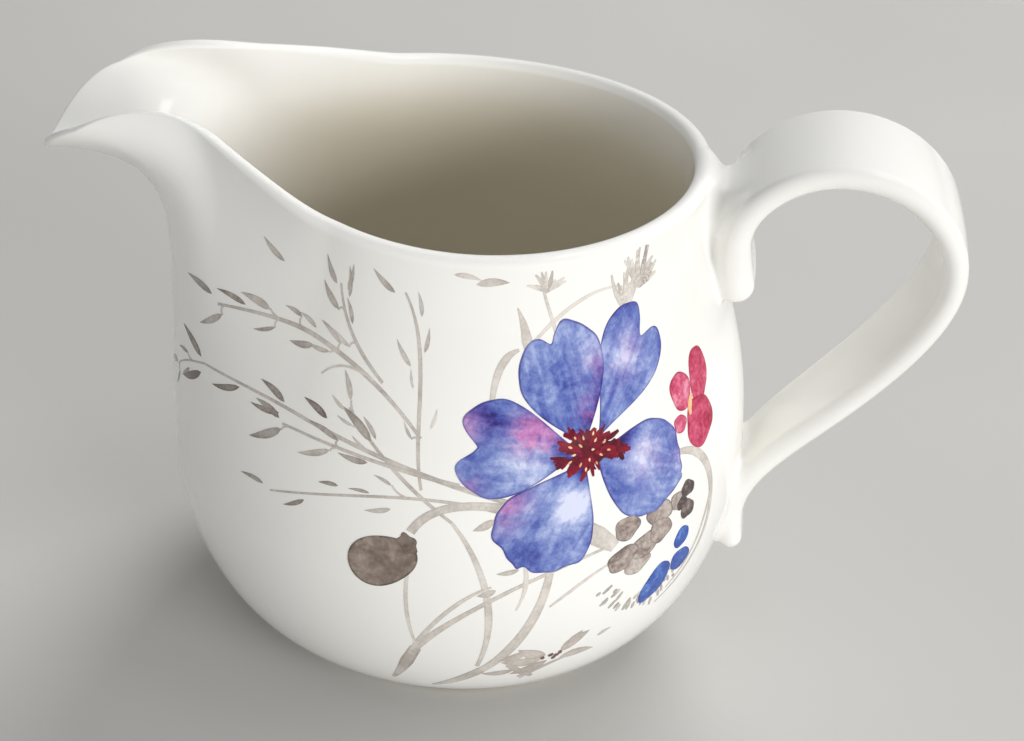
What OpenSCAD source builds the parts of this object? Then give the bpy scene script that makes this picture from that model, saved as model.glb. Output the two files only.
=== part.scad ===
// Porcelain cream jug: a slip-cast body with a beak spout, a turned foot ring, a ribbon handle
// luted on with slip, and printed flower transfers fired onto the glaze.
// Origin: centre of the foot on the table. +Z is up, +X points to the handle, -X to the spout,
// and the decorated side faces -Y.

/* [Body] */
// Widest outside diameter of the body
belly_d = 82; // [76:1:88]
// Height of the widest ring above the table
belly_z = 28; // [25:1:32]
// Thickness of the fired wall below the belly; it thins towards the lip
wall_t = 3; // [2.6:0.2:3.4]
// Diameter where the wall turns into the floor, measured in the middle of the wall
floor_d = 52; // [48:1:53]
// Clear height under the middle of the floor
floor_gap = 1.8; // [1.4:0.1:2.2]

/* [Rim and spout] */
// Diameter of the round part of the rim, measured in the middle of the lip
rim_d = 61.8; // [57:0.2:66]
// Height of the rim at the sides, to the middle of the lip
rim_z = 71.3; // [69:0.1:75]
// How much higher the rim stands at the handle than at the sides
rim_climb = 1.3; // [0:0.1:2]
// Thickness of the rounded lip on the bowl
lip_t = 2.6; // [2.2:0.1:3]
// Distance from the body's axis to the tip of the spout
spout_reach = 58.7; // [56:0.1:61]
// Height of the tip of the spout
spout_tip_z = 67.6; // [65:0.1:70]
// Height of the rim half way along the cheeks of the spout
spout_cheek_z = 77.1; // [75:0.1:79]
// Half the width of the spout's channel
spout_half_w = 11.5; // [10:0.1:13]
// Thickness of the lip round the mouth of the spout
spout_lip_t = 1.2; // [1.2:0.1:2.2]

/* [Foot ring] */
// Outside diameter of the foot ring
foot_d = 53.8; // [52:0.2:55]
// Width of the ground band that the jug stands on
foot_band = 3; // [2.4:0.2:3.4]

/* [Handle] */
// Width of the ribbon where it is widest
handle_w = 20.4; // [18:0.2:21]
// Thickness of the ribbon
handle_t = 3.7; // [3.4:0.1:4.2]

/* [Hidden] */

white_glaze = [0.97, 0.96, 0.93];
bare_biscuit = [0.90, 0.87, 0.82];
blue_ink = [0.33, 0.38, 0.72];
brown_ink = [0.50, 0.44, 0.38];
sand_ink = [0.66, 0.62, 0.56];
red_ink = [0.80, 0.20, 0.34];

half_wall = wall_t / 2;
bowl_lip = lip_t / 2;
spout_lip = spout_lip_t / 2;
belly_r = belly_d / 2 - half_wall;
floor_r = floor_d / 2;
floor_z = floor_gap + half_wall;
rim_r = rim_d / 2;
round_power = 1.8;      // fullness of the curve from floor to belly
shoulder_power = 1.25;  // how late the wall draws in towards the rim
keel_flare = 5.2;       // how late the wall runs out, under the middle of the spout
side_flare = 4;         // and beside it
keel_rise = 4;          // how far the underside of the spout is held up behind the tip
keel_rise_late = 6;     // how late that starts
side_lift = 5;          // how late the wall climbs beside the spout
keel_swell = 0.6;       // how far the wall stands out below the spout

// Angles around the body are counted from the spout, through the decorated side, to the handle.
beak_angle = 20;
cheek_angle = 35;
spout_angle = 63;
spout_ease = 35;

function bezier(p, t) =
    pow(1 - t, 3) * p[0] + 3 * t * pow(1 - t, 2) * p[1] + 3 * t * t * (1 - t) * p[2] + pow(t, 3) * p[3];
function ring_point(r, a, z) = [-r * cos(a), -r * sin(a), z];

function ease(t) = let (c = max(0, min(1, t))) c * c * (3 - 2 * c);

// The rim's centre line: a round beak, a cheek, a sweep down to the bowl, and the round bowl.
bowl_lead = 0.65;
tip = [-spout_reach, 0, spout_tip_z];
corner = tip + [6.7, -spout_half_w, 7];
crest = [-33, -15.5, spout_cheek_z];
bowl_start = ring_point(rim_r, spout_angle, rim_z + bowl_lead);
beak = [tip, tip + [0, -4.6, 0], tip + [1, 1.3 - spout_half_w, 4.4], corner];
cheek = [corner, corner + [4.2, -1.3, 3.0], crest + [-7.5, 5.8, 2.4], crest];
sweep = [crest, crest + [13.7, -10.7, -4.4],
         bowl_start - 4 * [sin(spout_angle), -cos(spout_angle), -0.06], bowl_start];
function bowl_rise(a) =
    bowl_lead * pow(max(0, 1 - (a - spout_angle) / spout_ease), 2) + rim_climb * pow(max(0, -cos(a)), 2);
function rim_point(a) =
    a <= beak_angle ? bezier(beak, a / beak_angle) :
    a <= cheek_angle ? bezier(cheek, (a - beak_angle) / (cheek_angle - beak_angle)) :
    a <= spout_angle ? bezier(sweep, (a - cheek_angle) / (spout_angle - cheek_angle)) :
    ring_point(rim_r, a, rim_z + bowl_rise(a));

// Middle of the wall. q runs from 0 at the floor through 1 at the belly to 2 at the rim.
function low_wall(a, q) = ring_point(
    floor_r + (belly_r - floor_r) * pow(sin(90 * q), 2 / round_power), a,
    belly_z - (belly_z - floor_z) * pow(cos(90 * q), 2 / round_power));
function spout_share(a) = a < spout_angle ? (1 + cos(180 * a / spout_angle)) / 2 : 0;
function draw_in(v) = (belly_r - rim_r) * (1 - cos(180 * pow(v, shoulder_power))) / 2;
function high_ring(a, v) =
    let (share = spout_share(a), climb = (1 - share) * v + share * sin(90 * v))
    ring_point(belly_r - (1 - share) * draw_in(v) + share * keel_swell * sin(180 * v), a,
               belly_z + (rim_z - belly_z) * climb);
function high_wall(a, v) =
    let (gap = rim_point(a) - high_ring(a, 1), share = spout_share(a),
         out = pow(v, side_flare + (keel_flare - side_flare) * share),
         up = (1 - share) * pow(v, side_lift) + share * sin(90 * v))
    high_ring(a, v) + [gap.x * out, gap.y * out,
                       gap.z * up + share * keel_rise * pow(v, keel_rise_late) * sin(180 * v)];
function middle(a, q) = q <= 1 ? low_wall(a, q) : high_wall(a, q - 1);

function unit(v) = v / norm(v);
step_a = 0.2;
step_q = 0.004;
function around(a, q) = middle(min(a + step_a, 180), q) - middle(max(a - step_a, 0), q);
function upward(a, q) = unit(middle(a, min(q + step_q, 2)) - middle(a, max(q - step_q, 0)));
function flat_y(v, a) = (a <= 0 || a >= 180) ? [v.x, 0, v.z] : v;
function outward(a, q) =
    let (side = (a <= 0 || a >= 180) ? [0, a <= 0 ? -1 : 1, 0] : around(a, q))
    flat_y(unit(cross(side, upward(a, q))), a);
// Radius of the lip, and half the thickness of the wall below it
function lip_r(a) = spout_lip + (bowl_lip - spout_lip) * ease((a - 18) / 40);
function half_thick(a, q) = half_wall - (half_wall - lip_r(a)) * pow(max(0, q - 1), 2);
// A point of the decorated half of the wall: side is 1 on the outer face and -1 on the inner one,
// and d is the distance in millimetres out from that face
function wall_point(a, q, side, d) = middle(a, q) + (side * half_thick(a, q) + d) * outward(a, q);
// The same on the glaze outside, at the height z
function wall_q(z) =
    z >= belly_z ? 1 + (z - belly_z) / (rim_z - belly_z) :
    acos(pow((belly_z - z) / (belly_z - floor_z), round_power / 2)) / 90;
function glaze_point(a, z, d) = wall_point(a, wall_q(z), 1, d);

// Body: one closed skin, ring by ring from under the floor, over the lip, to the inside floor.
beak_steps = 9;
cheek_steps = 8;
sweep_steps = 9;
bowl_steps = 24;
column_angles = concat([for (i = [0:beak_steps - 1]) beak_angle * i / beak_steps],
    [for (i = [0:cheek_steps - 1]) beak_angle + (cheek_angle - beak_angle) * i / cheek_steps],
    [for (i = [0:sweep_steps - 1]) cheek_angle + (spout_angle - cheek_angle) * i / sweep_steps],
    [for (i = [0:bowl_steps]) spout_angle + (180 - spout_angle) * i / bowl_steps]);
half_steps = len(column_angles) - 1;
columns = 2 * half_steps;
function mirror_y(p, far) = far ? [p.x, -p.y, p.z] : p;
low_steps = 10;
high_steps = 14;
lip_steps = 6;
wall_rows = concat([for (i = [0:low_steps]) i / low_steps],
                   [for (i = [1:high_steps]) 1 + 1 - pow(1 - i / high_steps, 1.3)]);
function column_angle(i) = column_angles[i > half_steps ? columns - i : i];
function wall_ring(q, side) = [for (i = [0:columns - 1])
    mirror_y(wall_point(column_angle(i), q, side, 0), i > half_steps)];
function lip_ring(turn) = [for (i = [0:columns - 1])
    let (a = column_angle(i), out = outward(a, 2), up = flat_y(upward(a, 2), a))
    mirror_y(middle(a, 2) + lip_r(a) * (cos(turn) * out + sin(turn) * up), i > half_steps)];
function floor_ring(z) = [for (i = [0:columns - 1])
    mirror_y(ring_point(floor_r / 2, column_angle(i), z), i > half_steps)];

module skin(rings, first, last) {
    n = len(rings[0]);
    m = len(rings);
    points = concat([first], [for (r = rings) each r], [last]);
    faces = concat(
        [for (i = [0:n - 1]) [0, 1 + i, 1 + (i + 1) % n]],
        [for (r = [0:m - 2], i = [0:n - 1])
            let (a = 1 + r * n + i, b = 1 + r * n + (i + 1) % n) each [[a, a + n, b], [b, a + n, b + n]]],
        [for (i = [0:n - 1]) [m * n + 1, 1 + (m - 1) * n + (i + 1) % n, 1 + (m - 1) * n + i]]);
    polyhedron(points = points, faces = faces);
}

module vessel_body() {
    last_row = len(wall_rows) - 1;
    color(white_glaze) skin(
        concat([floor_ring(floor_z - half_wall)],
               [for (q = wall_rows) wall_ring(q, 1)],
               [for (i = [1:lip_steps - 1]) lip_ring(180 * i / lip_steps)],
               [for (i = [0:last_row]) wall_ring(wall_rows[last_row - i], -1)],
               [floor_ring(floor_z + half_wall)]),
        [0, 0, floor_z - half_wall], [0, 0, floor_z + half_wall]);
}

// Foot ring: a turned ring whose ground band is the only bare porcelain.
foot_round = 0.6;
module foot_ring() {
    foot_top = floor_gap + 0.9;
    outer = foot_d / 2;
    inner = outer - foot_band;
    color(bare_biscuit) rotate_extrude($fn = 96) polygon([
        [inner + foot_round, 0], [outer - foot_round, 0], [outer, foot_round],
        [outer, foot_top - 0.4], [outer - 0.6, foot_top], [inner + 0.4, foot_top],
        [inner, foot_top - 0.4], [inner, foot_round]
    ]);
}

// Handle: a ribbon swept along its centre line, which runs from the upper tail, over the top
// and down the lower limb to the lower tail. Both tails lie against the wall.
strap_line = [
    [37.1, 58.8], [36.6, 61.0], [36.1, 63.0], [36.1, 66.2],
    [36.1, 72.6], [42.8, 78.2], [50.0, 78.2],
    [58.6, 78.2], [65.6, 71.9], [65.6, 64.2],
    [65.6, 56.5], [57.8, 46.8], [50.7, 38.8],
    [45.3, 32.7], [40.6, 27.5], [40.6, 21.6],
    [40.6, 20.0], [40.8, 18.4], [41.0, 17.2]
];
strap_spans = (len(strap_line) - 1) / 3;
function bezier_slope(p, t) =
    3 * pow(1 - t, 2) * (p[1] - p[0]) + 6 * t * (1 - t) * (p[2] - p[1]) + 3 * t * t * (p[3] - p[2]);
function strap_part(u) = min(floor(u), strap_spans - 1);
function strap_ctrl(i) = [for (k = [0:3]) strap_line[3 * i + k]];
function strap_at(u) = let (i = strap_part(u)) bezier(strap_ctrl(i), u - i);
function strap_dir(u) = let (i = strap_part(u)) unit(bezier_slope(strap_ctrl(i), u - i));
// The ribbon is broad over the top and narrows down the lower limb to its tail.
tail_w = 13.6;
root_w = 15.4;
function strap_width(u) =
    handle_w - (handle_w - root_w) * (1 - ease(u / 1.6)) - (handle_w - tail_w) * ease((u - 2.4) / 2.6);
// It thickens where it is luted on at the top.
root_extra = 1.3;
function strap_thick(u) = handle_t + root_extra * (1 - ease((u - 0.5) / 1.2));
span_steps = [3, 12, 13, 12, 10, 2];
strap_us = concat([for (i = [0:strap_spans - 1], k = [0:span_steps[i] - 1]) i + k / span_steps[i]],
                  [strap_spans]);
section_steps = 24;
section_power = 0.55;
function signed_pow(v, p) = sign(v) * pow(abs(v), p);
function strap_ring(u, shrink, shift) = [for (i = [0:section_steps - 1])
    let (a = 360 * i / section_steps, c = strap_at(u), dir = strap_dir(u),
         side = shrink * strap_thick(u) / 2 * signed_pow(sin(a), section_power))
    [c.x - dir.y * side + dir.x * shift,
     (strap_width(u) / 2 - strap_thick(u) / 2 * (1 - shrink)) * signed_pow(cos(a), section_power),
     c.y + dir.x * side + dir.y * shift]];
// Each tail is rounded off over half its thickness.
round_turns = [20, 45, 70];
module handle_strap() {
    head_r = strap_thick(0) / 2;
    tail_r = strap_thick(strap_spans) / 2;
    start = strap_at(0) - head_r * strap_dir(0);
    finish = strap_at(strap_spans) + tail_r * strap_dir(strap_spans);
    color(white_glaze) skin(
        concat([for (turn = round_turns) strap_ring(0, sin(turn), -head_r * cos(turn))],
               [for (u = strap_us) strap_ring(u, 1, 0)],
               [for (k = [2:-1:0]) strap_ring(strap_spans, sin(round_turns[k]), tail_r * cos(round_turns[k]))]),
        [start.x, 0, start.y], [finish.x, 0, finish.y]);
}

// Slip pads: the clay slip that lutes each end of the handle to the wall, a low dome on the glaze.
module slip_pad(z, half_w, half_h, rise) {
    rings = 5;
    spokes = 32;
    sunk = 0.8;
    function pad_point(k, i, d) =
        let (a = 360 * i / spokes, f = k / rings)
        mirror_y(glaze_point(180 - abs(half_w * f * cos(a)) * 180 / (PI * belly_r),
                             z + half_h * f * sin(a), d), cos(a) < 0);
    color(white_glaze) skin(
        concat([for (k = [1:rings]) [for (i = [0:spokes - 1])
                   pad_point(k, i, rise * (1 - pow(k / rings, 2)))]],
               [for (k = [rings:-1:1]) [for (i = [0:spokes - 1]) pad_point(k, i, -sunk)]]),
        glaze_point(180, z, rise), glaze_point(180, z, -sunk));
}
module upper_handle_slip() {
    slip_pad(64.5, 8.8, 8, 1.6);
}
module lower_handle_slip() {
    slip_pad(25, 8.8, 9.5, 1.2);
}

// Transfers: thin printed skins fired into the glaze of the decorated side. Each is placed by its
// angle round the body and its height, and drawn in millimetres to the right and up from there.
ink_sunk = 0.2;
ink_proud = 0.08;
function ink_point(a, z, p, d) = glaze_point(a + p.x * 180 / (PI * belly_r), z + p.y, d);
module ink_patch(a, z, outline) {
    rings = 4;
    skin(
        concat([for (k = [1:rings]) [for (p = outline) ink_point(a, z, p * k / rings, ink_proud)]],
               [for (k = [rings:-1:1]) [for (p = outline) ink_point(a, z, p * k / rings, -ink_sunk)]]),
        ink_point(a, z, [0, 0], ink_proud), ink_point(a, z, [0, 0], -ink_sunk));
}
// A flower's outline: petals round a middle, or a plain disc where petals is 0
function rosette(petals, inner_r, outer_r, turn, points) = [for (i = [0:points - 1])
    let (a = 360 * i / points, r = inner_r + (outer_r - inner_r) * pow(abs(cos(petals * (a - turn) / 2)), 0.8))
    r * [cos(a), sin(a)]];
function oval(half_w, half_h, turn) = [for (i = [0:19])
    let (a = 18 * i, x = half_w * cos(a), y = half_h * sin(a))
    [x * cos(turn) - y * sin(turn), x * sin(turn) + y * cos(turn)]];
// A stem along a Bezier curve of [angle, height] points, widest at its foot
stem_steps = 14;
module ink_stem(p, w) {
    function stem_ring(t) =
        let (c = bezier(p, t), slope = unit(bezier_slope(p, t)), half = w / 2 * (1 - 0.5 * t))
        [for (k = [[1, ink_proud], [-1, ink_proud], [-1, -ink_sunk], [1, -ink_sunk]])
            ink_point(c.x, c.y, half * k[0] * [-slope.y, slope.x], k[1])];
    skin([for (i = [0:stem_steps]) stem_ring(i / stem_steps)],
                 ink_point(p[0].x, p[0].y, [0, 0], -ink_sunk / 2),
                 ink_point(p[3].x, p[3].y, [0, 0], -ink_sunk / 2));
}

module flower_transfer() {
    color(blue_ink) ink_patch(121, 47, rosette(5, 4.5, 17, 100, 80));
}
module pod_transfer() {
    color(brown_ink) ink_patch(82.5, 31.5, oval(5.2, 3.8, 25));
}
module grass_transfer() {
    color(sand_ink) {
        ink_stem([[87.0, 51.0], [77, 57], [60, 61], [37, 57]], 0.9);
        ink_stem([[99.0, 43.4], [86, 46], [62, 50], [36, 48]], 0.9);
        ink_stem([[98.0, 39.0], [88, 42], [74, 40], [61, 37]], 0.9);
        ink_stem([[90.0, 48.0], [88, 54], [87, 60], [83, 66]], 0.9);
    }
}
module red_blossom_transfer() {
    color(red_ink) ink_patch(149, 48, rosette(4, 2.4, 5.8, 60, 40));
}
module blue_bud_transfer() {
    color(blue_ink) {
        ink_patch(138.6, 23.6, oval(2.0, 3.4, -34));
        ink_patch(145.2, 25.4, oval(2.0, 1.7, 0));
        ink_patch(144.6, 29.2, oval(1.4, 1.7, -34));
    }
}
module seed_blossom_transfer() {
    color(brown_ink) {
        ink_patch(131.0, 30.5, rosette(4, 1.8, 3.8, 30, 32));
        ink_patch(138.0, 34.0, rosette(4, 1.4, 2.6, 10, 32));
        ink_patch(145.0, 35.0, rosette(3, 1.0, 2.0, 50, 32));
    }
}
module base_sprig_transfer() {
    color(sand_ink) {
        ink_stem([[112, 13], [116, 17], [121, 18], [127, 16]], 0.9);
        ink_stem([[110, 11], [115, 12.5], [121, 13.5], [127, 12.5]], 0.9);
    }
}

vessel_body();
foot_ring();
handle_strap();
upper_handle_slip();
lower_handle_slip();
flower_transfer();
pod_transfer();
grass_transfer();
red_blossom_transfer();
blue_bud_transfer();
seed_blossom_transfer();
base_sprig_transfer();
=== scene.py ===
"""Porcelain cream jug: glazed body, ribbon handle, bare foot band and watercolour flower transfers."""
import math

import bpy
import numpy as np
from mathutils import Matrix, Vector


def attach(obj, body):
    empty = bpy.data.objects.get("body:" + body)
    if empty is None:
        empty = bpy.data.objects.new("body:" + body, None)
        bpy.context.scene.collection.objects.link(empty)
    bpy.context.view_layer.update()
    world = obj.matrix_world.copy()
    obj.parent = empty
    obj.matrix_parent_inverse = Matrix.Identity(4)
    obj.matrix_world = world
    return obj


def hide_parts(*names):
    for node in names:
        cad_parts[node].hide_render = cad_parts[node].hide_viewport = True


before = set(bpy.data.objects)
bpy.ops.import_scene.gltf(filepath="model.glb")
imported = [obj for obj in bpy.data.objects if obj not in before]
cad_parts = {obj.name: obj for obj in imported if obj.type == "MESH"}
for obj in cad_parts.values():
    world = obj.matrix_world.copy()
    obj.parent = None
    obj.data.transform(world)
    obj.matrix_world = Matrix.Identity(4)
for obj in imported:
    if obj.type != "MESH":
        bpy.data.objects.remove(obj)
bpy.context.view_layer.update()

MM = 0.001

# ---------------------------------------------------------------- shape of the wall, in millimetres
# Angles run in degrees from 0 at the spout over the decorated side to 180 at the handle.
HALF_WALL = 1.5
BELLY_R, BELLY_Z = 39.5, 28.0
FLOOR_R, FLOOR_Z = 26.0, 3.3
RIM_R, RIM_Z, RIM_CLIMB = 30.9, 71.3, 1.3
BOWL_LIP, SPOUT_LIP, BOWL_LEAD = 1.3, 0.6, 0.65
ROUND_POWER, SHOULDER_POWER = 1.8, 1.25
# How the wall runs out to the rim: along the keel under the spout, and beside it
KEEL_FLARE, SIDE_FLARE, SIDE_LIFT, KEEL_SWELL = 5.2, 4.0, 5.0, 0.6
KEEL_RISE, KEEL_RISE_POWER = 4.0, 6
BEAK_ANGLE, CHEEK_ANGLE, SPOUT_ANGLE, SPOUT_EASE = 20.0, 35.0, 63.0, 35.0
LIP_START, LIP_SPAN = 18.0, 40.0
STEP_A, STEP_Q = 0.2, 0.004


def unit(v):
    return v / np.maximum(np.linalg.norm(v, axis=-1, keepdims=True), 1e-12)


def bezier(p, t):
    t = np.asarray(t, float)[..., None]
    return (1 - t) ** 3 * p[0] + 3 * t * (1 - t) ** 2 * p[1] + 3 * t * t * (1 - t) * p[2] + t ** 3 * p[3]


def ring_point(r, a, z):
    r, a, z = np.broadcast_arrays(r, np.radians(a), z)
    return np.stack([-r * np.cos(a), -r * np.sin(a), z], -1)


def ease(t):
    t = np.clip(t, 0, 1)
    return t * t * (3 - 2 * t)


# The rim from the tip of the spout to the round bowl: three curves end to end.
TIP = np.array([-58.7, 0, 67.6])
CORNER = TIP + [6.7, -11.5, 7]
CREST = np.array([-33, -15.5, 77.1])
BOWL_START = ring_point(RIM_R, SPOUT_ANGLE, RIM_Z + BOWL_LEAD)
BOWL_DIR = np.array([math.sin(math.radians(SPOUT_ANGLE)), -math.cos(math.radians(SPOUT_ANGLE)), -0.06])
BEAK = np.array([TIP, TIP + [0, -4.6, 0], TIP + [1, -10.2, 4.4], CORNER])
CHEEK = np.array([CORNER, CORNER + [4.2, -1.3, 3.0], CREST + [-7.5, 5.8, 2.4], CREST])
SWEEP = np.array([CREST, CREST + [13.7, -10.7, -4.4], BOWL_START - 4 * BOWL_DIR, BOWL_START])


def rim_point(a):
    rise = BOWL_LEAD * np.maximum(0, 1 - (a - SPOUT_ANGLE) / SPOUT_EASE) ** 2
    rise = rise + RIM_CLIMB * np.maximum(0, -np.cos(np.radians(a))) ** 2
    p = ring_point(RIM_R, a, RIM_Z + rise)
    for line, start, end in ((SWEEP, CHEEK_ANGLE, SPOUT_ANGLE),
                             (CHEEK, BEAK_ANGLE, CHEEK_ANGLE),
                             (BEAK, 0, BEAK_ANGLE)):
        p = np.where((a <= end)[..., None], bezier(line, np.clip((a - start) / (end - start), 0, 1)), p)
    return p


def lip_r(a):
    """Radius of the lip at an angle."""
    from_spout = np.abs((a + 180) % 360 - 180)
    return SPOUT_LIP + (BOWL_LIP - SPOUT_LIP) * ease((from_spout - LIP_START) / LIP_SPAN)


def half_thick(a, q):
    return HALF_WALL - (HALF_WALL - lip_r(a)) * np.maximum(0, q - 1) ** 2


def half_middle(a, q):
    """Middle of the wall at angle a (0 spout, 180 handle) and q (0 floor edge, 1 belly, 2 rim)."""
    lo = np.clip(q, 0, 1)
    low = ring_point(
        FLOOR_R + (BELLY_R - FLOOR_R) * np.sin(np.radians(90 * lo)) ** (2 / ROUND_POWER), a,
        BELLY_Z - (BELLY_Z - FLOOR_Z) * np.maximum(np.cos(np.radians(90 * lo)), 0) ** (2 / ROUND_POWER))
    v = np.clip(q - 1, 0, 1)
    share = np.where(a < SPOUT_ANGLE, (1 + np.cos(np.radians(180 * a / SPOUT_ANGLE))) / 2, 0)

    def high_ring(v):
        quarter = np.sin(np.radians(90 * v))
        draw = (BELLY_R - RIM_R) * (1 - np.cos(np.radians(180 * v ** SHOULDER_POWER))) / 2
        swell = share * KEEL_SWELL * np.sin(np.radians(180 * v))
        return ring_point(BELLY_R - (1 - share) * draw + swell, a,
                          BELLY_Z + (RIM_Z - BELLY_Z) * ((1 - share) * v + share * quarter))

    gap = rim_point(a) - high_ring(np.ones_like(v))
    out = v ** (SIDE_FLARE + (KEEL_FLARE - SIDE_FLARE) * share)
    up = (1 - share) * v ** SIDE_LIFT + share * np.sin(np.radians(90 * v))
    high = high_ring(v) + gap * np.stack([out, out, up], -1)
    high[..., 2] += share * KEEL_RISE * v ** KEEL_RISE_POWER * np.sin(np.radians(180 * v))
    return np.where((q <= 1)[..., None], low, high)


def middle(a, q):
    a, q = np.broadcast_arrays(np.asarray(a, float), np.asarray(q, float))
    turned = (a + 180) % 360 - 180
    p = half_middle(np.abs(turned), np.clip(q, 0, 2))
    return np.where((turned < 0)[..., None], p * [1, -1, 1], p)


def frame_at(a, q):
    """Middle of the wall with the outward and the upward direction there."""
    up = unit(middle(a, np.minimum(q + STEP_Q, 2)) - middle(a, np.maximum(q - STEP_Q, 0)))
    along = middle(a + STEP_A, q) - middle(a - STEP_A, q)
    return middle(a, q), unit(np.cross(along, up)), up


def wall(a, q, side):
    """A point of the outer face (side 1) or the inner face (side -1)."""
    a, q = np.broadcast_arrays(np.asarray(a, float), np.asarray(q, float))
    p, out, _ = frame_at(a, q)
    return p + side * half_thick(a, q)[..., None] * out


def q_at(a, z):
    """The q at which the middle of the wall has the height z."""
    a, z = np.broadcast_arrays(np.asarray(a, float), np.asarray(z, float))
    lo, hi = np.zeros_like(a), np.full_like(a, 2.0)
    for _ in range(22):
        mid = (lo + hi) / 2
        below = middle(a, mid)[..., 2] < z
        lo, hi = np.where(below, mid, lo), np.where(below, hi, mid)
    return (lo + hi) / 2


def glaze(a, z, lift):
    """A point lift millimetres outside the glaze, at angle a and height z, with the outward direction."""
    q = q_at(a, z)
    p, out, _ = frame_at(a, q)
    return p + (half_thick(a, q) + np.asarray(lift, float))[..., None] * out, out


# ---------------------------------------------------------------- meshes
def mesh_object(name, points, faces, normals=None, attributes=None):
    mesh = bpy.data.meshes.new(name)
    mesh.from_pydata((np.asarray(points) * MM).tolist(), [], [list(map(int, f)) for f in faces])
    mesh.update()
    mesh.polygons.foreach_set("use_smooth", [True] * len(mesh.polygons))
    for key, values in (attributes or {}).items():
        layer = mesh.attributes.new(key, "FLOAT", "POINT")
        layer.data.foreach_set("value", np.asarray(values, np.float32))
    if normals is not None:
        mesh.normals_split_custom_set_from_vertices(np.asarray(normals).tolist())
    o = bpy.data.objects.new(name, mesh)
    bpy.context.scene.collection.objects.link(o)
    return o


def skin_faces(rings, count, first, last):
    """Quads between closed rings, and fans from the first and last point to the end rings."""
    faces = []
    i = np.arange(count)
    j = (i + 1) % count
    for r in range(rings - 1):
        a, b = r * count + i, r * count + j
        faces += np.stack([a, a + count, b + count, b], -1).tolist()
    faces += np.stack([np.full(count, first), i, j], -1).tolist()
    top = (rings - 1) * count
    faces += np.stack([np.full(count, last), top + j, top + i], -1).tolist()
    return faces


def spread(start, end, steps, power=1.0):
    """Values from start to end, closer together towards the end where power is over 1."""
    t = np.linspace(0, 1, steps + 1)
    return start + (end - start) * (1 - (1 - t) ** power)


FLOOR_RINGS = (0.3, 0.6, 0.85)
LIP_STEPS = 16


def body_mesh():
    """Floor, outer wall, rolled lip and inner wall as one closed skin of rings."""
    half = np.concatenate([spread(0, BEAK_ANGLE, 30)[:-1], spread(BEAK_ANGLE, CHEEK_ANGLE, 22)[:-1],
                           spread(CHEEK_ANGLE, SPOUT_ANGLE, 26)[:-1], spread(SPOUT_ANGLE, 180, 80)])
    angles = np.concatenate([half, 360 - half[-2:0:-1]])
    rows = np.concatenate([spread(0, 1, 36)[:-1], spread(1, 2, 72, 1.3)])
    rings = [ring_point(FLOOR_R * s, angles, FLOOR_Z - HALF_WALL) for s in FLOOR_RINGS]
    rings += [wall(angles, q, 1) for q in rows]
    p, out, up = frame_at(angles, np.full_like(angles, 2.0))
    for k in range(1, LIP_STEPS):
        turn = math.pi * k / LIP_STEPS
        rings.append(p + lip_r(angles)[:, None] * (math.cos(turn) * out + math.sin(turn) * up))
    rings += [wall(angles, q, -1) for q in rows[::-1]]
    rings += [ring_point(FLOOR_R * s, angles, FLOOR_Z + HALF_WALL) for s in FLOOR_RINGS[::-1]]
    n = len(angles)
    points = np.concatenate(rings + [[[0, 0, FLOOR_Z - HALF_WALL]], [[0, 0, FLOOR_Z + HALF_WALL]]])
    faces = skin_faces(len(rings), n, len(rings) * n, len(rings) * n + 1)
    inner = np.zeros(len(points))
    first_inner = (len(FLOOR_RINGS) + len(rows) + LIP_STEPS - 1) * n
    inner[first_inner:len(rings) * n] = 1
    inner[-1] = 1
    # Mask for the painted shade inside the jug: it grows below the rim and away from the spout, where the
    # inner wall lies in shade. The petals use the same mark for deeper pigment.
    below_rim, behind_spout = ease((76 - points[:, 2]) / 16), ease((points[:, 0] + 44) / 24)
    return mesh_object("porcelain_body", points, faces, attributes={"deep": inner * below_rim * behind_spout})


FOOT_OUTER, FOOT_INNER, FOOT_TOP, FOOT_SHOULDER = 26.9, 23.9, 2.7, 1.8
FOOT_ROUND_OUT, FOOT_ROUND_IN = 0.7, 0.6


def foot_mesh():
    """Turned foot ring: glazed sides, a ground bare band below."""
    profile = [(FOOT_OUTER - 0.1, FOOT_TOP), (FOOT_OUTER - 0.02, FOOT_SHOULDER)]
    for centre, size, start in ((FOOT_OUTER - FOOT_ROUND_OUT, FOOT_ROUND_OUT, 0),
                                (FOOT_INNER + FOOT_ROUND_IN, FOOT_ROUND_IN, -90)):
        for k in range(9):
            t = math.radians(start - 90 * k / 8)
            profile.append((centre + size * math.cos(t), size + size * math.sin(t)))
    profile += [(FOOT_INNER, FOOT_SHOULDER), (FOOT_INNER + 0.1, FOOT_TOP)]
    count = 240
    a = np.arange(count) * 360 / count
    rings = [ring_point(r, a, z) for r, z in profile]
    i = np.arange(count)
    j = (i + 1) % count
    faces = []
    for r in range(len(rings)):
        s = (r + 1) % len(rings)
        faces += np.stack([r * count + i, r * count + j, s * count + j, s * count + i], -1).tolist()
    return mesh_object("foot_ring_band", np.concatenate(rings), faces)


# ---------------------------------------------------------------- handle: ribbon and slip as one surface
# Centre line in x and z, as curves end to end: from the upper tail over the loop to the lower tail.
STRAP_LINE = np.array([
    [37.1, 58.8], [36.6, 61.0], [36.1, 63.0], [36.1, 66.2],
    [36.1, 72.6], [42.8, 78.2], [50.0, 78.2],
    [58.6, 78.2], [65.6, 71.9], [65.6, 64.2],
    [65.6, 56.5], [57.8, 46.8], [50.7, 38.8],
    [45.3, 32.7], [40.6, 27.5], [40.6, 21.6],
    [40.6, 20.0], [40.8, 18.4], [41.0, 17.2]])
HANDLE_W, HANDLE_T, TAIL_W, ROOT_W, ROOT_EXTRA = 20.4, 3.7, 13.6, 15.4, 1.3
EDGE_ROUND, CROWN = 0.86, 0.28
SPANS, SPAN_STEPS = 6, 100

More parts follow.
